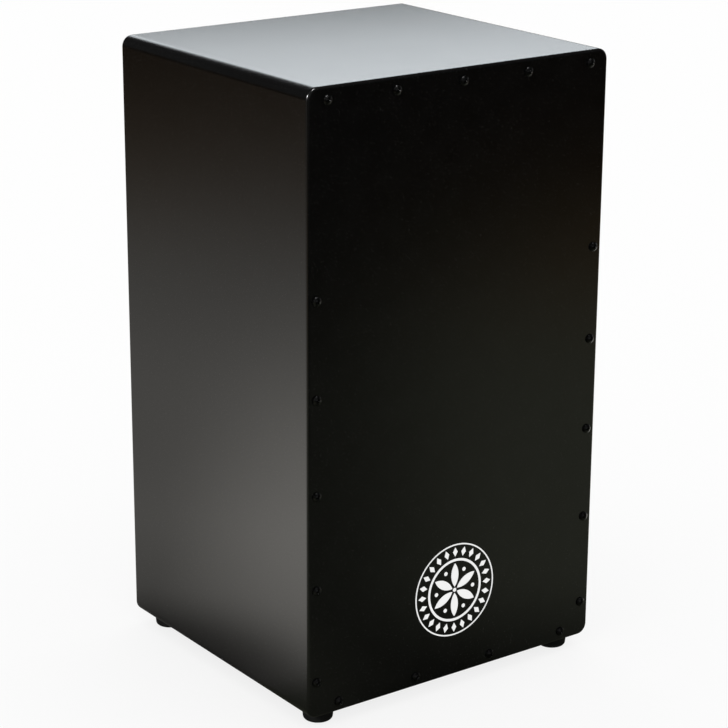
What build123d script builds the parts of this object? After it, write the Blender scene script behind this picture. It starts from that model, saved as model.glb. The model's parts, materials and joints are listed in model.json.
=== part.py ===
from build123d import *

import os
from math import asin, cos, degrees, radians, sin

# Cajon: a box drum that is sat on and played with the hands on its thin front plate.
# The origin is on the floor, at the centre of the footprint. +Z is up, the playing plate
# faces -Y, and +X is on the right of somebody who looks at that plate. Millimetres.

# ---------------------------------------------------------------- driving dimensions

# Box
WIDTH = 257
DEPTH = 233
HEIGHT = 447  # without the feet
EDGE_RADIUS = 8  # the four long front-to-back edges
PANEL = 15  # sides, seat and base
TAPA = 3  # front playing plate
BACK = 6
REBATE = 6  # how far the seat and the base reach into each side panel
TAPA_EASING = 2
BACK_EASING = 2

# Sound hole
HOLE_RADIUS = 57
HOLE_BELOW_SEAT = 150
HOLE_EASING = 2

# Glue battens in the long inside corners
BATTEN = 20
BATTEN_CHAMFER = 10
BATTEN_SETBACK = 8  # keeps the wood clear of the vibrating plate

# Rubber feet
FOOT_HEIGHT = 10
FOOT_TOP_RADIUS = 11.5
FOOT_BOTTOM_RADIUS = 10.5
FOOT_EASING = 2.5
FOOT_RECESS_RADIUS = 5.5
FOOT_RECESS_DEPTH = 5
FOOT_FROM_SIDE = 20.3
FOOT_FROM_FACE = 17
WASHER_RADIUS = 5
WASHER_THICKNESS = 1

# Screws
BORE_GAP = 0.05  # radial gap between a shank and its hole
PLATE_SCREW = {"head_radius": 3.4, "head_height": 2.4, "shank_radius": 1.6, "length": 20}
RAIL_SCREW = {"head_radius": 3.9, "head_height": 2.6, "shank_radius": 1.9, "length": 34}
SNARE_SCREW = {"head_radius": 2.7, "head_height": 1.9, "shank_radius": 1.3, "length": 11}
FOOT_SCREW = {"head_radius": 4.0, "head_height": 2.6, "shank_radius": 1.9, "length": 16}
RECESS_SPAN = 1.2  # cross recess, end to end, in head radii
RECESS_WIDTH = 0.27  # in head radii
RECESS_DEPTH = 0.65  # in head heights

# Screw rows of the playing plate
COLUMN_INSET = 7.5
COLUMN_START = 27  # lowest screw above the underside of the box
COLUMN_PITCH = 69.2
COLUMN_COUNT = 5
BOTTOM_ROW_PITCH = 68
BOTTOM_ROW_COUNT = 4
BOTTOM_ROW_INSET = 7.5
TOP_ROW_PITCH = 56.25
TOP_ROW_COUNT = 5
TOP_ROW_INSET = 9

# Screw rows of the back panel
BACK_COLUMN_PITCH = 130
BACK_COLUMN_COUNT = 4
BACK_ROW_PITCH = 82
BACK_ROW_COUNT = 3

# Snare rail and its cleats
RAIL_DEPTH = 18
RAIL_HEIGHT = 32
RAIL_BELOW_SEAT = 151  # middle of the rail
CLEAT_WIDTH = 18
CLEAT_DEPTH = 34
RAIL_SCREW_SPREAD = 16

# Snare sets
SNARE_X = 55  # middle of each clamp plate
SNARE_SPLAY = 15  # degrees from upright, seen from the front
SNARE_LEAN = 8  # degrees towards the playing plate
CLAMP_WIDTH = 46
CLAMP_HEIGHT = 16
CLAMP_THICKNESS = 1
CLAMP_CORNER = 2
CLAMP_SCREW_SPREAD = 30
CLAMP_SCREW_DROP = 3.6  # below the middle of the clamp plate
STRAND_COUNT = 10
STRAND_PITCH = 4.2
STRAND_RADIUS = 1.1
STRAND_LENGTH = 112  # free length above the clamp plate
STRAND_SEAT = 5  # length soldered to the clamp plate
STRAND_BEND = 14
TIP_GAP = 0.05

# Printed rosette
BADGE_ABOVE_BASE = 67
BADGE_THICKNESS = 0.2
BADGE_RIM = (34.4, 35.4)
BADGE_RING = (22.2, 24.0)
BADGE_DIAMONDS = 24
BADGE_DIAMOND_RADIUS = 29.3
BADGE_DIAMOND_LENGTH = 7.0
BADGE_DIAMOND_WIDTH = 4.2
BADGE_PETALS = 6
BADGE_PETAL = (2.4, 20.6)
BADGE_PETAL_WIDTH = 6.4
BADGE_DOT_RING = 16.5
BADGE_DOT_RADIUS = 1.5

# ---------------------------------------------------------------- derived places

X_OUTER = WIDTH / 2
X_INNER = X_OUTER - PANEL
Y_FRONT = -DEPTH / 2
Y_BACK = DEPTH / 2
Y_SHELL_FRONT = Y_FRONT + TAPA
Y_SHELL_BACK = Y_BACK - BACK
Z_BASE = FOOT_HEIGHT
Z_SEAT = FOOT_HEIGHT + HEIGHT
Z_FLOOR = Z_BASE + PANEL
Z_CEILING = Z_SEAT - PANEL
Z_MIDDLE = (Z_BASE + Z_SEAT) / 2

# The tips of the strands just reach the inner face of the playing plate.
STRAND_Y = -CLAMP_THICKNESS - STRAND_RADIUS
STRAND_REACH = STRAND_LENGTH * sin(radians(SNARE_LEAN)) + STRAND_RADIUS * cos(radians(SNARE_LEAN))
Y_RAIL = Y_SHELL_FRONT + TIP_GAP + STRAND_REACH - STRAND_Y
Y_CLEAT = Y_RAIL + RAIL_DEPTH
Z_RAIL = Z_SEAT - RAIL_BELOW_SEAT


# ---------------------------------------------------------------- building blocks


def block(x, y, z):
    """Box from its limits on each axis, given in any order."""
    middle = [(low + high) / 2 for low, high in (x, y, z)]
    size = [abs(high - low) for low, high in (x, y, z)]
    return Pos(*middle) * Box(*size)


def front_to_back(outline, y_from, y_to):
    """Solid whose upright outline, drawn in x and z, runs from y_from to y_to."""
    return extrude(Plane.XZ.offset(-y_to) * outline, amount=y_to - y_from)


def body_slab(y_from, y_to):
    """Slice of the whole box between two depths, with the four rounded corners."""
    outline = Pos(0, Z_MIDDLE) * RectangleRounded(WIDTH, HEIGHT, EDGE_RADIUS)
    return front_to_back(outline, y_from, y_to)


def row(count, pitch):
    """Centred row of evenly spaced coordinates."""
    return [(i - (count - 1) / 2) * pitch for i in range(count)]


def cross_recess(head_radius, head_height):
    """Tapered cross cut into the crown of a screw head whose underside is at z = 0."""
    depth = RECESS_DEPTH * head_height
    span = RECESS_SPAN * head_radius
    width = RECESS_WIDTH * head_radius
    cross = Box(span, width, depth) + Box(width, span, depth)
    taper = Cone(bottom_radius=width, top_radius=span / 2, height=depth)
    return Pos(0, 0, head_height - depth / 2) * (cross & taper)


def pan_screw(head_radius, head_height, shank_radius, length):
    """Pan-head screw along Z: head above z = 0, plain pointed shank below it."""
    rim = 0.4 * head_height
    crown = head_height - rim
    dome_radius = (head_radius**2 + crown**2) / (2 * crown)
    dome_angle = degrees(asin(head_radius / dome_radius))
    tip = 2 * shank_radius
    flank = Polyline(
        (0, head_height),
        (0, -length),
        (shank_radius, tip - length),
        (shank_radius, 0),
        (head_radius, 0),
        (head_radius, rim),
    )
    dome = CenterArc((0, head_height - dome_radius), dome_radius, 90 - dome_angle, dome_angle)
    solid = revolve(Plane.XZ * make_face([flank, dome]), Axis.Z)
    return solid - cross_recess(head_radius, head_height)


def screw_bore(screw):
    """Blind hole along Z that a screw's shank sits in, open a little above z = 0."""
    clearance = 1
    depth = screw["length"] + BORE_GAP
    middle = (clearance - depth) / 2
    return Pos(0, 0, middle) * Cylinder(screw["shank_radius"] + BORE_GAP, depth + clearance)


def at_all(places, shape):
    """Copies of one shape, one at each place."""
    return [place * shape for place in places]


def group(shapes):
    """Separate solids that share one node."""
    return Compound(children=[solid for shape in shapes for solid in shape.solids()])


# ---------------------------------------------------------------- places of the fasteners

TOWARDS_FRONT = Rot(90, 0, 0)
TOWARDS_BACK = Rot(-90, 0, 0)
DOWNWARDS = Rot(180, 0, 0)


def tapa_screw_places():
    """The side columns stop low, so that the upper corners of the plate can slap."""
    column_x = X_OUTER - COLUMN_INSET
    column_z = [Z_BASE + COLUMN_START + i * COLUMN_PITCH for i in range(COLUMN_COUNT)]
    spots = [(side * column_x, z) for side in (-1, 1) for z in column_z]
    spots += [(x, Z_BASE + BOTTOM_ROW_INSET) for x in row(BOTTOM_ROW_COUNT, BOTTOM_ROW_PITCH)]
    spots += [(x, Z_SEAT - TOP_ROW_INSET) for x in row(TOP_ROW_COUNT, TOP_ROW_PITCH)]
    return [Pos(x, Y_FRONT, z) * TOWARDS_FRONT for x, z in spots]


def back_screw_places():
    """Even rows in the middle of the panels' thickness, all round the back."""
    column_x = X_OUTER - PANEL / 2
    spots = [(side * column_x, Z_MIDDLE + z) for side in (-1, 1) for z in row(BACK_COLUMN_COUNT, BACK_COLUMN_PITCH)]
    for z in (Z_BASE + PANEL / 2, Z_SEAT - PANEL / 2):
        spots += [(x, z) for x in row(BACK_ROW_COUNT, BACK_ROW_PITCH)]
    return [Pos(x, Y_BACK, z) * TOWARDS_BACK for x, z in spots]


def rail_screw_places():
    """Two screws in each end of the rail, over the middle of the cleats."""
    x = X_INNER - CLEAT_WIDTH / 2
    z = RAIL_SCREW_SPREAD / 2
    return [
        Pos(side * x, Y_RAIL, Z_RAIL + level * z) * TOWARDS_FRONT
        for side in (-1, 1)
        for level in (-1, 1)
    ]


def clamp_place(side):
    """Frame of a clamp plate: x along it, z up its strands, y = 0 on the rail's front face."""
    return Pos(side * SNARE_X, Y_RAIL, Z_RAIL) * Rot(0, side * SNARE_SPLAY, 0)


def clamp_screw_places(side, y=0.0):
    """Two screws in the lower half of a clamp plate, y being where their seats are."""
    return [
        clamp_place(side) * Pos(x, y, -CLAMP_SCREW_DROP) * TOWARDS_FRONT
        for x in row(2, CLAMP_SCREW_SPREAD)
    ]


def foot_places():
    """Centres of the four feet on the floor, by name."""
    x = X_OUTER - FOOT_FROM_SIDE
    return {
        "foot_front_left": Pos(-x, Y_FRONT + FOOT_FROM_FACE, 0),
        "foot_front_right": Pos(x, Y_FRONT + FOOT_FROM_FACE, 0),
        "foot_rear_left": Pos(-x, Y_BACK - FOOT_FROM_FACE, 0),
        "foot_rear_right": Pos(x, Y_BACK - FOOT_FROM_FACE, 0),
    }


def foot_screw_places():
    """Screw seats under the washers, inside the recesses of the feet."""
    seat = FOOT_RECESS_DEPTH - WASHER_THICKNESS
    return [place * Pos(0, 0, seat) * DOWNWARDS for place in foot_places().values()]


# ---------------------------------------------------------------- box


def seat_panel():
    """Panel that is sat on, let into the rebates of the side panels."""
    x = X_INNER + REBATE
    panel = block((-x, x), (Y_SHELL_FRONT, Y_SHELL_BACK), (Z_CEILING, Z_SEAT))
    return panel - front_bores() - back_bores()


def base_panel():
    """Bottom panel, which also takes the screws of the feet."""
    x = X_INNER + REBATE
    panel = block((-x, x), (Y_SHELL_FRONT, Y_SHELL_BACK), (Z_BASE, Z_FLOOR))
    return panel - front_bores() - back_bores() - at_all(foot_screw_places(), screw_bore(FOOT_SCREW))


def side_panel(side):
    """Full-height side with rounded outer edges and a rebate at each end."""
    depth = (Y_SHELL_FRONT, Y_SHELL_BACK)
    wall = body_slab(*depth) & block((side * X_INNER, side * X_OUTER), depth, (Z_BASE, Z_SEAT))
    rebate_x = (side * X_INNER, side * (X_INNER + REBATE))
    for level in ((Z_BASE, Z_FLOOR), (Z_CEILING, Z_SEAT)):
        wall -= block(rebate_x, depth, level)
    return wall - front_bores() - back_bores()


def front_bores():
    """Every hole of the playing plate's screws."""
    return at_all(tapa_screw_places(), screw_bore(PLATE_SCREW))


def back_bores():
    """Every hole of the back panel's screws."""
    return at_all(back_screw_places(), screw_bore(PLATE_SCREW))


def tapa():
    """Thin front plate that is struck, with an eased front edge."""
    plate = body_slab(Y_FRONT, Y_SHELL_FRONT)
    rim = plate.faces().sort_by(Axis.Y)[0].edges()
    return fillet(rim, TAPA_EASING) - front_bores()


def back_panel():
    """Back with an eased outer edge and the sound hole."""
    plate = body_slab(Y_SHELL_BACK, Y_BACK)
    rim = plate.faces().sort_by(Axis.Y)[-1].edges()
    plate = fillet(rim, BACK_EASING)
    hole_place = Pos(0, (Y_SHELL_BACK + Y_BACK) / 2, Z_SEAT - HOLE_BELOW_SEAT) * TOWARDS_BACK
    plate -= hole_place * Cylinder(HOLE_RADIUS, 2 * BACK)
    hole_edges = plate.edges().filter_by(GeomType.CIRCLE).filter_by(lambda e: e.radius == HOLE_RADIUS)
    return fillet(hole_edges, HOLE_EASING) - back_bores()


def corner_batten(side, level):
    """Glued batten in a long inside corner; side is -1 or 1, level -1 for bottom, 1 for top."""
    corner_z = Z_CEILING if level > 0 else Z_FLOOR
    stick = block(
        (side * X_INNER, side * (X_INNER - BATTEN)),
        (Y_SHELL_FRONT + BATTEN_SETBACK, Y_SHELL_BACK),
        (corner_z, corner_z - level * BATTEN),
    )
    inner_edge = stick.edges().filter_by(Axis.Y).sort_by_distance((0, 0, Z_MIDDLE))[0]
    return chamfer(inner_edge, BATTEN_CHAMFER)


# ---------------------------------------------------------------- snares


def snare_rail():
    """Batten across the box that carries both snare sets."""
    stick = block(
        (-X_INNER, X_INNER),
        (Y_RAIL, Y_CLEAT),
        (Z_RAIL - RAIL_HEIGHT / 2, Z_RAIL + RAIL_HEIGHT / 2),
    )
    stick -= at_all(rail_screw_places(), screw_bore(RAIL_SCREW))
    for side in (-1, 1):
        stick -= at_all(clamp_screw_places(side), screw_bore(SNARE_SCREW))
    return stick


def rail_cleat(side):
    """Block glued to a side panel; the rail is screwed to its front."""
    cleat = block(
        (side * X_INNER, side * (X_INNER - CLEAT_WIDTH)),
        (Y_CLEAT, Y_CLEAT + CLEAT_DEPTH),
        (Z_RAIL - RAIL_HEIGHT / 2, Z_RAIL + RAIL_HEIGHT / 2),
    )
    return cleat - at_all(rail_screw_places(), screw_bore(RAIL_SCREW))


def clamp_plate(side):
    """Steel plate that holds one set of strands by their soldered ends."""
    plate = block(
        (-CLAMP_WIDTH / 2, CLAMP_WIDTH / 2),
        (-CLAMP_THICKNESS, 0),
        (-CLAMP_HEIGHT / 2, CLAMP_HEIGHT / 2),
    )
    plate = clamp_place(side) * fillet(plate.edges().filter_by(Axis.Y), CLAMP_CORNER)
    return plate - at_all(clamp_screw_places(side), screw_bore(SNARE_SCREW))


def strand(x):
    """One strand in the clamp plate's frame: flat on the plate, then leaning forwards."""
    top = CLAMP_HEIGHT / 2
    lean = radians(SNARE_LEAN)
    path = FilletPolyline(
        (x, STRAND_Y, top - STRAND_SEAT),
        (x, STRAND_Y, top),
        (x, STRAND_Y - STRAND_LENGTH * sin(lean), top + STRAND_LENGTH * cos(lean)),
        radius=STRAND_BEND,
    )
    return sweep(Plane(path @ 0, z_dir=path % 0) * Circle(STRAND_RADIUS), path=path)


def snare_strands(side):
    """All strands of one set."""
    return group(clamp_place(side) * strand(x) for x in row(STRAND_COUNT, STRAND_PITCH))


# ---------------------------------------------------------------- feet


def foot():
    """Rubber bumper with a recess for the washer and the head of its screw."""
    rubber = Cone(FOOT_BOTTOM_RADIUS, FOOT_TOP_RADIUS, FOOT_HEIGHT)
    rubber = fillet(rubber.edges().sort_by(Axis.Z)[0], FOOT_EASING)
    rubber = Pos(0, 0, FOOT_HEIGHT / 2) * rubber
    rubber -= Pos(0, 0, FOOT_RECESS_DEPTH / 2) * Cylinder(FOOT_RECESS_RADIUS, FOOT_RECESS_DEPTH)
    return rubber - Cylinder(FOOT_SCREW["shank_radius"] + BORE_GAP, 3 * FOOT_HEIGHT)


def foot_washer():
    """Flat washer against the ceiling of the recess."""
    ring = Cylinder(WASHER_RADIUS, WASHER_THICKNESS)
    ring -= Cylinder(FOOT_SCREW["shank_radius"] + BORE_GAP, 2 * WASHER_THICKNESS)
    return Pos(0, 0, FOOT_RECESS_DEPTH - WASHER_THICKNESS / 2) * ring


# ---------------------------------------------------------------- printed rosette


def flat_ring(radii):
    """Ring between two radii."""
    inner, outer = radii
    return Circle(outer) - Circle(inner)


def petal():
    """Pointed leaf along +X between the petal radii."""
    start, end = BADGE_PETAL
    middle = (start + end) / 2
    half = BADGE_PETAL_WIDTH / 2
    upper = ThreePointArc((start, 0), (middle, half), (end, 0))
    lower = ThreePointArc((end, 0), (middle, -half), (start, 0))
    return make_face([upper, lower])


def diamond():
    """Rhombus whose long diagonal lies along a radius."""
    length, width = BADGE_DIAMOND_LENGTH / 2, BADGE_DIAMOND_WIDTH / 2
    shape = Polygon((-length, 0), (0, -width), (length, 0), (0, width), align=None)
    return Pos(BADGE_DIAMOND_RADIUS, 0) * shape


def front_badge():
    """Geometric rosette in thin white film, low on the playing plate."""
    turn = 360 / BADGE_PETALS
    shapes = [flat_ring(BADGE_RIM), flat_ring(BADGE_RING), Circle(BADGE_DOT_RADIUS)]
    shapes += [Rot(0, 0, i * 360 / BADGE_DIAMONDS) * diamond() for i in range(BADGE_DIAMONDS)]
    shapes += [Rot(0, 0, 90 + i * turn) * petal() for i in range(BADGE_PETALS)]
    dot = Pos(BADGE_DOT_RING, 0) * Circle(BADGE_DOT_RADIUS)
    shapes += [Rot(0, 0, (i + 0.5) * turn + 90) * dot for i in range(BADGE_PETALS)]
    centre = Pos(0, Z_BASE + BADGE_ABOVE_BASE)
    return group(
        front_to_back(centre * shape, Y_FRONT - BADGE_THICKNESS, Y_FRONT) for shape in shapes
    )


# ---------------------------------------------------------------- assembly


def build():
    """Every node of the cajon by name."""
    nodes = {
        "front_playing_plate": tapa(),
        "back_panel": back_panel(),
        "seat_panel": seat_panel(),
        "base_panel": base_panel(),
        "snare_rail": snare_rail(),
        "front_badge": front_badge(),
        "front_plate_screws": group(at_all(tapa_screw_places(), pan_screw(**PLATE_SCREW))),
        "back_panel_screws": group(at_all(back_screw_places(), pan_screw(**PLATE_SCREW))),
        "rail_screws": group(at_all(rail_screw_places(), pan_screw(**RAIL_SCREW))),
        "foot_screws": group(at_all(foot_screw_places(), pan_screw(**FOOT_SCREW))),
        "foot_washers": group(at_all(foot_places().values(), foot_washer())),
    }
    for name, place in foot_places().items():
        nodes[name] = place * foot()
    clamp_screws = []
    for side, hand in ((-1, "left"), (1, "right")):
        nodes[f"side_panel_{hand}"] = side_panel(side)
        nodes[f"corner_batten_bottom_{hand}"] = corner_batten(side, -1)
        nodes[f"corner_batten_top_{hand}"] = corner_batten(side, 1)
        nodes[f"rail_cleat_{hand}"] = rail_cleat(side)
        nodes[f"snare_clamp_{hand}"] = clamp_plate(side)
        nodes[f"snare_strands_{hand}"] = snare_strands(side)
        clamp_screws += at_all(clamp_screw_places(side, -CLAMP_THICKNESS), pan_screw(**SNARE_SCREW))
    nodes["snare_clamp_screws"] = group(clamp_screws)
    return nodes


os.makedirs("parts", exist_ok=True)
for node, shape in build().items():
    export_step(shape, f"parts/{node}.step")
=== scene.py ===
"""Looks of the cajon: materials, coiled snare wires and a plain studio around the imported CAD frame."""

import json
from math import atan2, cos, pi, radians, sin, tau

import bmesh
import bpy
from mathutils import Matrix, Vector


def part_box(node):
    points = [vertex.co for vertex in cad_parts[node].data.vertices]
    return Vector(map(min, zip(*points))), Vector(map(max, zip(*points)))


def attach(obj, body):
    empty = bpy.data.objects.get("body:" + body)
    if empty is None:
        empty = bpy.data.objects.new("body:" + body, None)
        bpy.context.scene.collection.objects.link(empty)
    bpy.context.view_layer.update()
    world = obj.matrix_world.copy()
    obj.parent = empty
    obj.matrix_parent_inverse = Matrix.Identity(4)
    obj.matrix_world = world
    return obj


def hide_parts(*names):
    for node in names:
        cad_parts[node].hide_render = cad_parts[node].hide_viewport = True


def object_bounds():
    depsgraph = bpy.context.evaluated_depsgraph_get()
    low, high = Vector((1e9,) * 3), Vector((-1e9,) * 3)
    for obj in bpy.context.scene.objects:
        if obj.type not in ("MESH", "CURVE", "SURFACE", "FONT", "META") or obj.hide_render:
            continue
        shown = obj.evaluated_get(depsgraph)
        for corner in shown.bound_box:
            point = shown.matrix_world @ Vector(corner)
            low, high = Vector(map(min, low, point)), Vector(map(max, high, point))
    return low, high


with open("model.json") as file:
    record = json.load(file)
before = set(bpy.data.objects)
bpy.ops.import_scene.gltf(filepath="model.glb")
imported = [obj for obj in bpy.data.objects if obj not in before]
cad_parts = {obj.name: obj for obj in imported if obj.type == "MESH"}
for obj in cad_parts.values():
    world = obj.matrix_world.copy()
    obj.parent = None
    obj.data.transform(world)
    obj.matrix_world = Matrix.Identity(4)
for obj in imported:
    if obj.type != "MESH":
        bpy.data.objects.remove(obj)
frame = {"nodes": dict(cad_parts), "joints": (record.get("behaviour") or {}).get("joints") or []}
cad_low, cad_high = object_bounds()
cad_middle = (cad_low + cad_high) / 2

MM = 0.001

# ------------------------------------------------------------------ camera

LENS_MM = 117.55
SENSOR_MM = 36.0
FAR_CLIP = 200.0
CAMERA_AZIMUTH = -36.2  # degrees round the object, 0 in front of the playing plate
CAMERA_ELEVATION = 18.01
CAMERA_DISTANCE = 1.753
CAMERA_ROLL = 0.34
AIM_BELOW_MIDDLE = 0.01045  # where the camera looks, against the middle of the CAD box
AIM_FORWARD = 0.0046

# ------------------------------------------------------------------ snare coils and their solder

STRANDS_PER_SET = 10
COIL_PITCH = 1.35 * MM
COIL_WIRE = 0.27 * MM  # radius of the wire
COIL_STEPS = 9  # points per turn
COIL_PHASE = 900.0  # turn of a coil's first point in radians, per metre across the set
BEND_LENGTH = 2.0 * MM  # of a strand where it leaves its clamp plate

SOLDER_HALF_HEIGHT = 1.9 * MM
SOLDER_RADIUS = 1.5 * MM  # how far the bead stands over the strands
SOLDER_OVERHANG = 2.2  # reach past the outer strands' centres, in strand radii
SOLDER_PLACE = 0.58  # share of the strands' seat between the bend and the bead's middle
SOLDER_SQUARENESS = 14  # higher for blunter ends
SOLDER_TIP = 0.02  # size of the first and last section against the middle one
SOLDER_LUMPS = ((0.07, 2.3, 0.0), (0.05, 5.1, 1.0))  # (height, radians per strand radius, phase)
SOLDER_STATIONS = 96  # sections along the bead
SOLDER_RING = 14  # points round each section

# ------------------------------------------------------------------ surfaces

LACQUER_DEEP = (0.0008, 0.0008, 0.0008, 1.0)
LACQUER_LIGHT = (0.0016, 0.0016, 0.0016, 1.0)
LACQUER_DUST = (0.12, 0.11, 0.1, 1.0)
BOARD_DEEP = (0.36, 0.225, 0.125, 1.0)
BOARD_LIGHT = (0.47, 0.31, 0.18, 1.0)
BOARD_FIBRE = (0.26, 0.155, 0.085, 1.0)
BIRCH_LIGHT = (0.66, 0.5, 0.32, 1.0)
BIRCH_DEEP = (0.56, 0.39, 0.23, 1.0)
BIRCH_STREAK = (0.46, 0.31, 0.18, 1.0)
PINE_EARLY = (0.66, 0.46, 0.25, 1.0)
PINE_LATE = (0.48, 0.29, 0.13, 1.0)
PINE_PORE = (0.3, 0.18, 0.09, 1.0)
RUBBER_BLACK = (0.002, 0.002, 0.002, 1.0)
RUBBER_DUST = (0.11, 0.105, 0.1, 1.0)
FILM_WHITE = (0.96, 0.96, 0.955, 1.0)
FILM_SHADE = (0.92, 0.92, 0.91, 1.0)
SOLDER_DEEP = (0.5, 0.5, 0.5, 1.0)
SOLDER_LIGHT = (0.66, 0.65, 0.62, 1.0)
OXIDE_DEEP = (0.02, 0.02, 0.02, 1.0)
OXIDE_LIGHT = (0.035, 0.035, 0.035, 1.0)
ZINC_LIGHT = (0.6, 0.6, 0.58, 1.0)
ZINC_DEEP = (0.5, 0.5, 0.5, 1.0)
STEEL_LIGHT = (0.62, 0.62, 0.62, 1.0)
STEEL_DEEP = (0.52, 0.52, 0.53, 1.0)
WIRE_LIGHT = (0.66, 0.66, 0.66, 1.0)
WIRE_DEEP = (0.55, 0.55, 0.56, 1.0)

BIRCH_BANDS = 14.0  # bands of grain over the whole range of their noise
PINE_BANDS = 11.0

LACQUER_STARTS = (0.6 * MM, 1.6 * MM)  # how far outside the cavity bare board gives way to lacquer
LACQUER_RAGGED = 3 * MM  # how unevenly it does so
PEEL_DEPTH = 0.011 * MM  # height of the lacquer's orange peel
BARE_DEPTH = 0.06 * MM  # height of the bare board's tooth

# ------------------------------------------------------------------ studio

FLOOR_SIZE = 60.0
FLOOR_TONE = 0.95
FLOOR_SELF_LIGHT = 0.82  # share of the floor's brightness that no shadow can dim
BACKDROP = 1.0  # brightness of the room to the camera and on dull surfaces
MIRROR_ROOM = 0.06  # brightness of the room in reflections
COOL_WHITE = (0.9, 0.96, 1.0)

# Light on the floor as reflections show it: brightness at distances from the point under the
# object, the tint near it and far from it, and the distances between which the tint changes.
SIDE_POOL = {
    "stops": (
        (0.12, 0.03), (0.18, 0.36), (0.24, 1.3), (0.38, 1.75), (0.66, 1.4),
        (0.98, 0.75), (1.4, 0.36), (1.7, 0.18), (2.5, 0.03),
    ),
    "near_tint": (1.0, 0.97, 0.91, 1.0),
    "far_tint": (1.0, 0.6, 0.25, 1.0),
    "turn": (1.2, 2.2),
}
FRONT_POOL = {
    "stops": ((0.13, 0.04), (0.2, 0.13), (0.3, 0.27), (0.95, 0.3), (1.4, 0.3), (1.8, 0.0)),
    "near_tint": (0.95, 1.0, 0.75, 1.0),
    "far_tint": (1.0, 0.5, 0.1, 1.0),
    "turn": (0.9, 1.5),
}
POOL_REACH = 2.5
POOL_PEAK = 2.0  # above the brightest stop
POOL_CHANGE = (-0.45, -0.1)  # y over distance: front pool below the first, side pool above the second

# The pools fade across slanted lines on the floor. A slant is the share of one distance from
# the box that is taken off another, a span is where the fade starts and ends, and a share of
# the light can be left behind it.
SIDE_SHADE_SLANT = 1.38
SIDE_SHADE_SPAN = (-0.096, 0.1)
SIDE_SHADE_LEFT = 0.36
SIDE_SHADE_REACH = (0.6, 1.4)  # distances over which the side's shade ends
FRONT_SHADE_SLANT = 0.75
FRONT_SHADE_SPAN = (-0.24, -0.07)
FRONT_SHADE_LEFT = 0.28
FRONT_END_SLANT = 0.45
FRONT_END_SPAN = (0.51, 0.71)


# ================================================================== shader helpers


def new_material(name):
    """An empty node material and its tree."""
    material = bpy.data.materials.new(name)
    material.use_nodes = True
    material.node_tree.nodes.clear()
    return material, material.node_tree


def node(tree, kind, inputs=None, **settings):
    """Adds a shader node with its settings, then fills its inputs, which map a socket's name or
    number to a value or to another socket."""
    made = tree.nodes.new(kind)
    for key, value in settings.items():
        setattr(made, key, value)
    for key, value in (inputs or {}).items():
        if isinstance(value, bpy.types.NodeSocket):
            tree.links.new(value, made.inputs[key])
        else:
            made.inputs[key].default_value = value
    return made


def maths(tree, operation, *values):
    """Output of a Math node."""
    return node(tree, "ShaderNodeMath", dict(enumerate(values)), operation=operation).outputs[0]


def less_share(tree, value, other, share):
    """A value less a share of another value."""
    return maths(tree, "SUBTRACT", value, maths(tree, "MULTIPLY", other, share))


def remap(tree, value, low, high, to_low=0.0, to_high=1.0, smooth=False):
    """A value moved from one range to another and held inside it."""
    inputs = {"Value": value, "From Min": low, "From Max": high, "To Min": to_low, "To Max": to_high}
    kind = "SMOOTHSTEP" if smooth else "LINEAR"
    return node(tree, "ShaderNodeMapRange", inputs, interpolation_type=kind).outputs["Result"]


def spread(tree, value, to_low=0.0, to_high=1.0):
    """A noise value's usual range spread over another range."""
    return remap(tree, value, 0.3, 0.7, to_low, to_high)


def blend_colours(tree, share, first, second, kind="MIX"):
    """Mix of two colours by a share from 0 to 1."""
    inputs = {0: share, 6: first, 7: second}
    return node(tree, "ShaderNodeMix", inputs, data_type="RGBA", blend_type=kind).outputs[2]


def blend_values(tree, share, first, second):
    """Mix of two plain numbers by a share from 0 to 1."""
    return node(tree, "ShaderNodeMix", {0: share, 2: first, 3: second}).outputs[0]


def noise(tree, place, per_metre, detail=2.0, roughness=0.5, distortion=0.0):
    """Value of a noise texture, from about 0.3 to 0.7, at so many features a metre."""
    inputs = {"Vector": place, "Scale": per_metre, "Detail": detail, "Roughness": roughness}
    inputs["Distortion"] = distortion
    return node(tree, "ShaderNodeTexNoise", inputs).outputs["Fac"]


def place_of(tree, stretch=(1.0, 1.0, 1.0)):
    """Position on the object in metres, optionally stretched for streaks and grain."""
    place = node(tree, "ShaderNodeTexCoord").outputs["Object"]
    if stretch == (1.0, 1.0, 1.0):
        return place
    return node(tree, "ShaderNodeMapping", {"Vector": place, "Scale": stretch}).outputs["Vector"]


def bumps(tree, *layers):
    """Chain of bump nodes from (height, depth in metres) pairs; returns the last normal."""
    normal = None
    for height, depth in layers:
        inputs = {"Height": height, "Distance": depth, "Strength": 1.0}
        if normal is not None:
            inputs["Normal"] = normal
        normal = node(tree, "ShaderNodeBump", inputs).outputs["Normal"]
    return normal


def finish_material(tree, **inputs):
    """Principled surface from named inputs, with underscores for spaces."""
    named = {key.replace("_", " "): value for key, value in inputs.items()}
    surface = node(tree, "ShaderNodeBsdfPrincipled", named)
    node(tree, "ShaderNodeOutputMaterial", {"Surface": surface.outputs["BSDF"]})


def grey(value):
    """Opaque neutral colour."""
    return (value, value, value, 1.0)


# ================================================================== materials of the object


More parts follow.
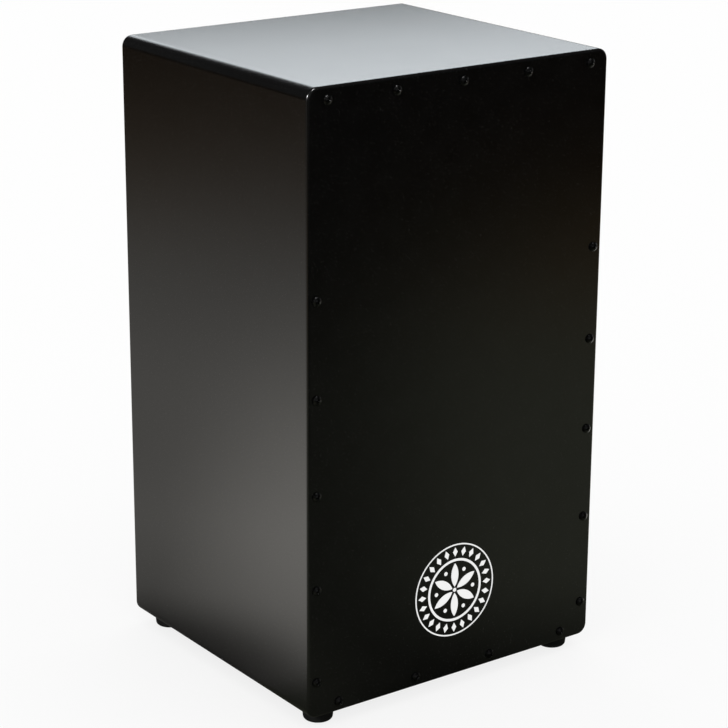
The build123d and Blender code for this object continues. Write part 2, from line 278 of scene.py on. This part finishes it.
def cavity_share(tree, place):
    """1 on the raw faces inside the box and 0 on its painted outside, with a soft ragged edge."""
    inner_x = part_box("snare_rail")[1].x
    shell_low, shell_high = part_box("side_panel_left")
    floor_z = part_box("base_panel")[1].z
    ceiling_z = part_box("seat_panel")[0].z
    axes = node(tree, "ShaderNodeSeparateXYZ", {"Vector": place}).outputs
    beyond = maths(tree, "SUBTRACT", maths(tree, "ABSOLUTE", axes["X"]), inner_x)
    for past in (
        maths(tree, "SUBTRACT", axes["Y"], shell_high.y),
        maths(tree, "SUBTRACT", shell_low.y, axes["Y"]),
        maths(tree, "SUBTRACT", axes["Z"], ceiling_z),
        maths(tree, "SUBTRACT", floor_z, axes["Z"]),
    ):
        beyond = maths(tree, "MAXIMUM", beyond, past)
    cloud = noise(tree, place, per_metre=160, detail=4)
    ragged = maths(tree, "MULTIPLY", maths(tree, "SUBTRACT", cloud, 0.5), LACQUER_RAGGED)
    return remap(tree, maths(tree, "ADD", beyond, ragged), *LACQUER_STARTS, 1.0, 0.0, smooth=True)


def raw_board_colour(tree, place):
    """Colour of bare fibreboard: tan, cloudy, with fine dark and light fibres."""
    cloud = noise(tree, place, per_metre=22, detail=4, roughness=0.6)
    fibre = noise(tree, place_of(tree, (1.0, 0.35, 0.35)), per_metre=2300, detail=3, roughness=0.7)
    tan = blend_colours(tree, spread(tree, cloud), BOARD_DEEP, BOARD_LIGHT)
    return blend_colours(tree, remap(tree, fibre, 0.35, 0.62), BOARD_FIBRE, tan)


def veneer_colour(tree, place):
    """Colour of the bare birch veneer behind the playing plate, with upright grain."""
    upright = place_of(tree, (1.0, 1.0, 0.12))
    wander = noise(tree, upright, per_metre=26, detail=4, roughness=0.55, distortion=0.6)
    streak = noise(tree, place_of(tree, (1.0, 1.0, 0.03)), per_metre=900, detail=3, roughness=0.6)
    bands = maths(tree, "FRACT", maths(tree, "MULTIPLY", wander, BIRCH_BANDS))
    birch = blend_colours(tree, bands, BIRCH_LIGHT, BIRCH_DEEP)
    return blend_colours(tree, remap(tree, streak, 0.35, 0.7), birch, BIRCH_STREAK)


def painted_board(name, raw_colour):
    """Satin black lacquer with fine orange peel and a little dust outside, bare board inside."""
    material, tree = new_material(name)
    place = place_of(tree)
    raw = cavity_share(tree, place)

    smear = noise(tree, place, per_metre=14, detail=5, roughness=0.55, distortion=0.8)
    speck = noise(tree, place, per_metre=1500, detail=1, roughness=0.4)
    peel = noise(tree, place, per_metre=420, detail=2, roughness=0.5)
    flow = noise(tree, place, per_metre=60, detail=2, roughness=0.5)
    tooth = noise(tree, place, per_metre=2600, detail=2, roughness=0.6)
    dust = remap(tree, speck, 0.72, 0.8)
    dust_tint = maths(tree, "MULTIPLY", dust, 0.25)
    dust_roughness = maths(tree, "MULTIPLY", dust, 0.2)

    black = blend_colours(tree, spread(tree, flow), LACQUER_DEEP, LACQUER_LIGHT)
    paint = blend_colours(tree, dust_tint, black, LACQUER_DUST)
    paint_roughness = maths(tree, "ADD", spread(tree, smear, 0.225, 0.24), dust_roughness)
    bare_roughness = spread(tree, tooth, 0.72, 0.9)

    bump_depth = blend_values(tree, raw, PEEL_DEPTH, BARE_DEPTH)
    painted_height = maths(tree, "ADD", peel, maths(tree, "MULTIPLY", tooth, 0.12))
    height = blend_values(tree, raw, painted_height, tooth)
    finish_material(
        tree,
        Base_Color=blend_colours(tree, raw, paint, raw_colour(tree, place)),
        Roughness=blend_values(tree, raw, paint_roughness, bare_roughness),
        IOR=1.5,
        Normal=bumps(tree, (height, bump_depth)),
    )
    return material


def softwood(name, stretch):
    """Planed pine: long grain, growth rings and fine pores, drawn out along the stretched axis."""
    material, tree = new_material(name)
    place = place_of(tree, stretch)
    rings = noise(tree, place, per_metre=55, detail=3, roughness=0.5, distortion=0.7)
    bands = maths(tree, "FRACT", maths(tree, "MULTIPLY", rings, PINE_BANDS))
    late = remap(tree, bands, 0.55, 0.95, smooth=True)
    pores = noise(tree, place, per_metre=2400, detail=2, roughness=0.6)
    wood = blend_colours(tree, late, PINE_EARLY, PINE_LATE)
    finish_material(
        tree,
        Base_Color=blend_colours(tree, remap(tree, pores, 0.38, 0.5, 0.35, 0.0), wood, PINE_PORE),
        Roughness=spread(tree, pores, 0.75, 0.55),
        Normal=bumps(tree, (bands, 0.05 * MM), (pores, 0.05 * MM)),
    )
    return material


def rubber():
    """Moulded black rubber with a fine matt skin and some floor dust on its lower edge."""
    material, tree = new_material("moulded_rubber")
    place = place_of(tree)
    height_z = node(tree, "ShaderNodeSeparateXYZ", {"Vector": place}).outputs["Z"]
    skin = noise(tree, place, per_metre=1800, detail=3, roughness=0.6)
    cloud = noise(tree, place, per_metre=130, detail=4, roughness=0.6)
    low = remap(tree, height_z, 0.3 * MM, 3.5 * MM, 1.0, 0.0, smooth=True)
    dust = maths(tree, "MULTIPLY", low, remap(tree, cloud, 0.45, 0.7, 0.0, 0.15))
    finish_material(
        tree,
        Base_Color=blend_colours(tree, dust, RUBBER_BLACK, RUBBER_DUST),
        Roughness=spread(tree, skin, 0.55, 0.72),
        Specular_IOR_Level=0.3,
        Normal=bumps(tree, (cloud, 0.05 * MM), (skin, 0.03 * MM)),
    )
    return material


def metal(name, colour, cloud_colour, roughness, brush=0.01 * MM):
    """Metal with cloudy plating in two colours and faint brushed lines of a given depth."""
    material, tree = new_material(name)
    place = place_of(tree)
    cloud = noise(tree, place, per_metre=600, detail=3, roughness=0.6)
    lines = noise(tree, place_of(tree, (1.0, 1.0, 0.1)), per_metre=5200, detail=2, roughness=0.6)
    finish_material(
        tree,
        Base_Color=blend_colours(tree, spread(tree, cloud), colour, cloud_colour),
        Metallic=1.0,
        Roughness=spread(tree, cloud, roughness * 0.8, roughness * 1.25),
        Normal=bumps(tree, (cloud, 0.01 * MM), (lines, brush)),
    )
    return material


def white_film():
    """Matt white print film with a slightly uneven tone and surface."""
    material, tree = new_material("white_print_film")
    place = place_of(tree)
    cloud = noise(tree, place, per_metre=180, detail=4, roughness=0.6)
    tooth = noise(tree, place, per_metre=2400, detail=2, roughness=0.6)
    finish_material(
        tree,
        Base_Color=blend_colours(tree, spread(tree, cloud), FILM_WHITE, FILM_SHADE),
        Roughness=spread(tree, tooth, 0.42, 0.55),
        Normal=bumps(tree, (tooth, 0.012 * MM)),
    )
    return material


def solder():
    """Dull tin solder, lumpy and a little grey."""
    material, tree = new_material("tin_solder")
    place = place_of(tree)
    lumps = noise(tree, place, per_metre=900, detail=3, roughness=0.6)
    finish_material(
        tree,
        Base_Color=blend_colours(tree, spread(tree, lumps), SOLDER_DEEP, SOLDER_LIGHT),
        Metallic=1.0,
        Roughness=spread(tree, lumps, 0.35, 0.55),
        Normal=bumps(tree, (lumps, 0.1 * MM)),
    )
    return material


def dress(material, *names):
    """Gives CAD nodes one material."""
    for name in names:
        slots = frame["nodes"][name].data.materials
        slots.clear()
        slots.append(material)


def both_sides(name):
    """Names of a node's left and right pieces."""
    return [f"{name}_left", f"{name}_right"]


def dress_frame():
    """Every CAD node gets its procedural finish."""
    panels = ["seat_panel", "base_panel", "back_panel", *both_sides("side_panel")]
    battens = both_sides("corner_batten_top") + both_sides("corner_batten_bottom")
    dress(painted_board("satin_black_fibreboard", raw_board_colour), *panels)
    dress(painted_board("satin_black_veneer", veneer_colour), "front_playing_plate")
    dress(softwood("pine_across", (0.07, 1.0, 1.0)), "snare_rail")
    dress(softwood("pine_front_to_back", (1.0, 0.07, 1.0)), *both_sides("rail_cleat"), *battens)
    dress(rubber(), *both_sides("foot_front"), *both_sides("foot_rear"))
    oxide = metal("black_oxide", OXIDE_DEEP, OXIDE_LIGHT, roughness=0.26)
    dress(oxide, "front_plate_screws", "back_panel_screws")
    zinc = metal("zinc_plate", ZINC_LIGHT, ZINC_DEEP, roughness=0.32)
    dress(zinc, "rail_screws", "foot_screws", "foot_washers", "snare_clamp_screws")
    dress(metal("snare_steel", STEEL_LIGHT, STEEL_DEEP, roughness=0.22), *both_sides("snare_clamp"))
    dress(white_film(), "front_badge")


# ================================================================== coiled snare wires


class SnareSet:
    """Measures of one set of strands, read from its joint and its plain CAD rods.

    Points are (across, up, forward): across runs along the clamp plate, up along the strands
    and forward towards the playing plate, all from the middle of the bend line."""

    def __init__(self, hand):
        joint = next(j for j in frame["joints"] if j["child"] == f"snares_{hand}")
        self.hand = hand
        self.pivot = Vector(joint["pos_m"])
        self.forward = Vector((0.0, -1.0, 0.0))
        self.across = -Vector(joint["axis"]).normalized()
        self.up = self.forward.cross(self.across)
        rods = [self.inside(v.co) for v in frame["nodes"][f"snare_strands_{hand}"].data.vertices]
        self.radius = -min(p.z for p in rods)
        self.seat = -min(p.y for p in rods)
        reach = max(p.z for p in rods) - self.radius
        rise = max(p.y for p in rods)
        self.lean = atan2(reach, rise)
        self.length = reach / sin(self.lean)
        half_width = max(p.x for p in rods) - self.radius
        self.offsets = [half_width * (2 * i / (STRANDS_PER_SET - 1) - 1) for i in range(STRANDS_PER_SET)]

    def inside(self, point):
        """A point of the frame in this set's own directions."""
        away = Vector(point) - self.pivot
        return Vector((away.dot(self.across), away.dot(self.up), away.dot(self.forward)))

    def outside(self, point):
        """The other way round."""
        across, up, forward = point
        return self.pivot + self.across * across + self.up * up + self.forward * forward

    def centre_line(self, travel):
        """(up, forward, lean) of a strand at a travel along it, 0 at the bend."""
        share = min(max(travel / BEND_LENGTH + 0.5, 0.0), 1.0)
        lean = self.lean * share
        straight = max(travel - BEND_LENGTH / 2, 0.0)
        bent = min(max(travel + BEND_LENGTH / 2, 0.0), BEND_LENGTH)
        half = self.lean * bent / BEND_LENGTH / 2
        up = min(travel, -BEND_LENGTH / 2) + bent * cos(half) + straight * cos(self.lean)
        forward = bent * sin(half) + straight * sin(self.lean)
        return up, forward, lean


def coil_points(snare, offset):
    """Points along the wire of one coiled strand."""
    span = snare.seat + snare.length
    count = round(span / COIL_PITCH * COIL_STEPS)
    radius = snare.radius - COIL_WIRE
    for i in range(count + 1):
        travel = i / count * span - snare.seat
        turn = tau * i / COIL_STEPS + offset * COIL_PHASE
        up, forward, lean = snare.centre_line(travel)
        side, out = radius * cos(turn), radius * sin(turn)
        yield snare.outside((offset + side, up - out * sin(lean), forward + out * cos(lean)))


def as_mesh_object(name, curve):
    """Mesh object with a curve's swept shape."""
    source = bpy.data.objects.new(name + "_curve", curve)
    bpy.context.scene.collection.objects.link(source)
    shape = source.evaluated_get(bpy.context.evaluated_depsgraph_get())
    mesh = bpy.data.meshes.new_from_object(shape)
    mesh.name = name
    bpy.data.objects.remove(source)
    bpy.data.curves.remove(curve)
    made = bpy.data.objects.new(name, mesh)
    bpy.context.scene.collection.objects.link(made)
    return made


def snare_coils(snare, material):
    """All coiled strands of one set as one piece, in place of the plain rods."""
    name = f"snare_coils_{snare.hand}"
    curve = bpy.data.curves.new(name, "CURVE")
    curve.dimensions = "3D"
    curve.bevel_depth = COIL_WIRE
    curve.bevel_resolution = 1
    curve.use_fill_caps = True
    for offset in snare.offsets:
        points = list(coil_points(snare, offset))
        spline = curve.splines.new("POLY")
        spline.points.add(len(points) - 1)
        for target, point in zip(spline.points, points):
            target.co = (*point, 1.0)
    coils = as_mesh_object(name, curve)
    coils.data.materials.append(material)
    coils.data.shade_smooth()
    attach(coils, f"snares_{snare.hand}")
    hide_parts(f"snare_strands_{snare.hand}")


def bead_size(share, across, radius):
    """Size of a solder bead's section: 1 on average, lumpy, and rounded off at both ends."""
    end = (1 - abs(share) ** SOLDER_SQUARENESS) ** 0.5 if abs(share) < 1 else SOLDER_TIP
    lumps = sum(height * sin(across / radius * waves + phase) for height, waves, phase in SOLDER_LUMPS)
    return end * (1 + lumps)


def solder_bead(snare, material):
    """Lumpy line of solder that holds the strands on their clamp plate."""
    name = f"solder_bead_{snare.hand}"
    half_width = snare.offsets[-1] + SOLDER_OVERHANG * snare.radius
    shape = bmesh.new()
    rows = []
    for i in range(SOLDER_STATIONS + 1):
        share = 2 * i / SOLDER_STATIONS - 1
        across = half_width * share
        size = bead_size(share, across, snare.radius)
        row = []
        for k in range(SOLDER_RING):
            angle = pi * k / (SOLDER_RING - 1)
            up = -snare.seat * SOLDER_PLACE + SOLDER_HALF_HEIGHT * cos(angle) * size
            forward = -snare.radius + (snare.radius + SOLDER_RADIUS) * sin(angle) * size
            row.append(shape.verts.new(snare.outside((across, up, forward))))
        rows.append(row)
    for low, high in zip(rows, rows[1:]):
        for k in range(SOLDER_RING):
            following = (k + 1) % SOLDER_RING
            shape.faces.new((low[k], low[following], high[following], high[k]))
    for row in (rows[0], rows[-1]):
        shape.faces.new(row)
    bmesh.ops.recalc_face_normals(shape, faces=shape.faces)
    mesh = bpy.data.meshes.new(name)
    shape.to_mesh(mesh)
    shape.free()
    mesh.shade_smooth()
    bead = bpy.data.objects.new(name, mesh)
    bpy.context.scene.collection.objects.link(bead)
    mesh.materials.append(material)
    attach(bead, "box")


def add_snares():
    """Coils and solder of both sets."""
    wire = metal("snare_wire", WIRE_LIGHT, WIRE_DEEP, roughness=0.2, brush=0.004 * MM)
    tin = solder()
    for hand in ("left", "right"):
        snare = SnareSet(hand)
        snare_coils(snare, wire)
        solder_bead(snare, tin)


# ================================================================== studio


def light_pool(tree, reach, fade, stops, near_tint, far_tint, turn):
    """Emission of a pool of light at a distance from the point under the object, dimmed by a fade."""
    ramp = node(tree, "ShaderNodeValToRGB", {"Fac": maths(tree, "DIVIDE", reach, POOL_REACH)})
    elements = ramp.color_ramp.elements
    while len(elements) < len(stops):
        elements.new(0.5)
    for element, (distance, brightness) in zip(elements, stops):
        element.position = distance / POOL_REACH
        element.color = grey(brightness / POOL_PEAK)
    tint = blend_colours(tree, remap(tree, reach, *turn), near_tint, far_tint)
    colour = blend_colours(tree, 1.0, ramp.outputs["Color"], tint, kind="MULTIPLY")
    strength = maths(tree, "MULTIPLY", fade, POOL_PEAK)
    return node(tree, "ShaderNodeEmission", {"Color": colour, "Strength": strength}).outputs[0]


def floor_in_mirrors(tree):
    """The floor as reflections show it: lit pools beside and in front, darker where the box shades them."""
    place = node(tree, "ShaderNodeTexCoord").outputs["Object"]
    axes = node(tree, "ShaderNodeSeparateXYZ", {"Vector": place}).outputs
    reach = node(tree, "ShaderNodeVectorMath", {0: place}, operation="LENGTH").outputs["Value"]
    beside = maths(tree, "SUBTRACT", maths(tree, "ABSOLUTE", axes["X"]), cad_high.x)
    ahead = maths(tree, "SUBTRACT", maths(tree, "ABSOLUTE", axes["Y"]), cad_high.y)

    behind = less_share(tree, axes["Y"], beside, SIDE_SHADE_SLANT)
    side_fade = remap(tree, behind, *SIDE_SHADE_SPAN, 1.0, SIDE_SHADE_LEFT)
    side_fade = blend_values(tree, remap(tree, reach, *SIDE_SHADE_REACH), side_fade, 1.0)

    along = less_share(tree, beside, ahead, FRONT_SHADE_SLANT)
    shade_fade = remap(tree, along, *FRONT_SHADE_SPAN, FRONT_SHADE_LEFT, 1.0)
    outward = less_share(tree, ahead, beside, FRONT_END_SLANT)
    end_fade = remap(tree, outward, *FRONT_END_SPAN, 1.0, 0.0, smooth=True)
    front_fade = maths(tree, "MULTIPLY", shade_fade, end_fade)

    side = light_pool(tree, reach, side_fade, **SIDE_POOL)
    front = light_pool(tree, reach, front_fade, **FRONT_POOL)
    facing = remap(tree, maths(tree, "DIVIDE", axes["Y"], reach), *POOL_CHANGE, 0.0, 1.0, smooth=True)
    return node(tree, "ShaderNodeMixShader", {0: facing, 1: front, 2: side}).outputs[0]


def studio_floor():
    """Plain pale floor with a faint contact shadow."""
    mesh = bpy.data.meshes.new("studio_floor")
    half = FLOOR_SIZE / 2
    corners = [(-half, -half, 0), (half, -half, 0), (half, half, 0), (-half, half, 0)]
    mesh.from_pydata(corners, [], [(0, 1, 2, 3)])
    floor = bpy.data.objects.new("studio_floor", mesh)
    bpy.context.scene.collection.objects.link(floor)

    material, tree = new_material("pale_floor")
    material.cycles.emission_sampling = "NONE"
    mesh.materials.append(material)
    matt = node(tree, "ShaderNodeBsdfDiffuse", {"Color": grey(FLOOR_TONE)}).outputs[0]
    lit = node(tree, "ShaderNodeEmission", {"Color": grey(1.0), "Strength": BACKDROP}).outputs[0]
    plain = node(tree, "ShaderNodeMixShader", {0: FLOOR_SELF_LIGHT, 1: matt, 2: lit}).outputs[0]
    in_mirror = node(tree, "ShaderNodeLightPath").outputs["Is Glossy Ray"]
    surface = node(tree, "ShaderNodeMixShader", {0: in_mirror, 1: plain, 2: floor_in_mirrors(tree)})
    node(tree, "ShaderNodeOutputMaterial", {"Surface": surface.outputs[0]})


def studio_room():
    """Even white room that reflections see as nearly dark."""
    world = bpy.data.worlds.new("studio_room")
    bpy.context.scene.world = world
    world.use_nodes = True
    world.cycles.sampling_method = "NONE"
    tree = world.node_tree
    tree.nodes.clear()
    plain = node(tree, "ShaderNodeBackground", {"Color": grey(1.0), "Strength": BACKDROP})
    mirrored = node(tree, "ShaderNodeBackground", {"Color": grey(1.0), "Strength": MIRROR_ROOM})
    glossy = node(tree, "ShaderNodeLightPath").outputs["Is Glossy Ray"]
    surface = node(tree, "ShaderNodeMixShader", {0: glossy, 1: plain.outputs[0], 2: mirrored.outputs[0]})
    node(tree, "ShaderNodeOutputWorld", {"Surface": surface.outputs[0]})


def away_from_object(azimuth, elevation):
    """Direction of a place round the object, in degrees, with azimuth 0 in front of the playing plate."""
    turn, rise = radians(azimuth), radians(elevation)
    return Vector((sin(turn) * cos(rise), -cos(turn) * cos(rise), sin(rise)))


def softbox(name, azimuth, elevation, distance, target, width, height, brightness, colour=(1.0, 1.0, 1.0)):
    """Rectangular lamp that only shows in reflections, placed round the object and aimed at a target."""
    lamp = bpy.data.lights.new(name, "AREA")
    lamp.shape = "RECTANGLE"
    lamp.size = width
    lamp.size_y = height
    lamp.energy = brightness * pi * width * height
    lamp.color = colour
    made = bpy.data.objects.new(name, lamp)
    away = away_from_object(azimuth, elevation)
    made.location = target + away * distance
    made.rotation_mode = "QUATERNION"
    made.rotation_quaternion = (-away).to_track_quat("-Z", "Y")
    made.visible_camera = False
    made.visible_diffuse = False
    bpy.context.scene.collection.objects.link(made)


def add_lamps():
    """Softboxes: a wide one low behind for the seat's sheen, two small ones for glints on screws and
    corners, and four dim ones round the object for its faces when they are seen level."""
    seat = Vector((cad_middle.x, cad_middle.y, cad_high.z))
    softbox(
        "seat_softbox", azimuth=162.0, elevation=0.0, distance=0.7, target=seat + Vector((0.3, -0.1, 0.247)),
        width=1.0, height=0.234, brightness=2.7, colour=COOL_WHITE,
    )
    softbox(
        "left_softbox", azimuth=-68.0, elevation=20.0, distance=2.2, target=seat,
        width=0.35, height=0.45, brightness=110.0,
    )
    softbox(
        "front_softbox", azimuth=5.0, elevation=60.0, distance=2.2, target=seat,
        width=0.25, height=0.25, brightness=160.0,
    )
    for azimuth in (0.0, 90.0, 180.0, 270.0):
        softbox(
            f"level_softbox_{azimuth:.0f}", azimuth=azimuth, elevation=0.0, distance=3.0,
            target=Vector((0.0, 0.0, 0.6)), width=2.0, height=1.2, brightness=0.4,
        )


def add_camera():
    """Camera at the height and side that show the playing plate, the left side and the seat."""
    data = bpy.data.cameras.new("studio_camera")
    data.lens = LENS_MM
    data.sensor_width = SENSOR_MM
    data.clip_end = FAR_CLIP
    camera = bpy.data.objects.new("studio_camera", data)
    bpy.context.scene.collection.objects.link(camera)
    bpy.context.scene.camera = camera
    aim = cad_middle - Vector((0.0, AIM_FORWARD, AIM_BELOW_MIDDLE))
    back = away_from_object(CAMERA_AZIMUTH, CAMERA_ELEVATION)
    turn = (-back).to_track_quat("-Z", "Y").to_matrix().to_4x4()
    roll = Matrix.Rotation(radians(CAMERA_ROLL), 4, "Z")
    camera.matrix_world = Matrix.Translation(aim + back * CAMERA_DISTANCE) @ turn @ roll


# ================================================================== scene


dress_frame()
add_snares()
studio_floor()
studio_room()
add_lamps()
add_camera()

scene = bpy.context.scene
scene.view_settings.view_transform = "Standard"
scene.cycles.use_denoising = True
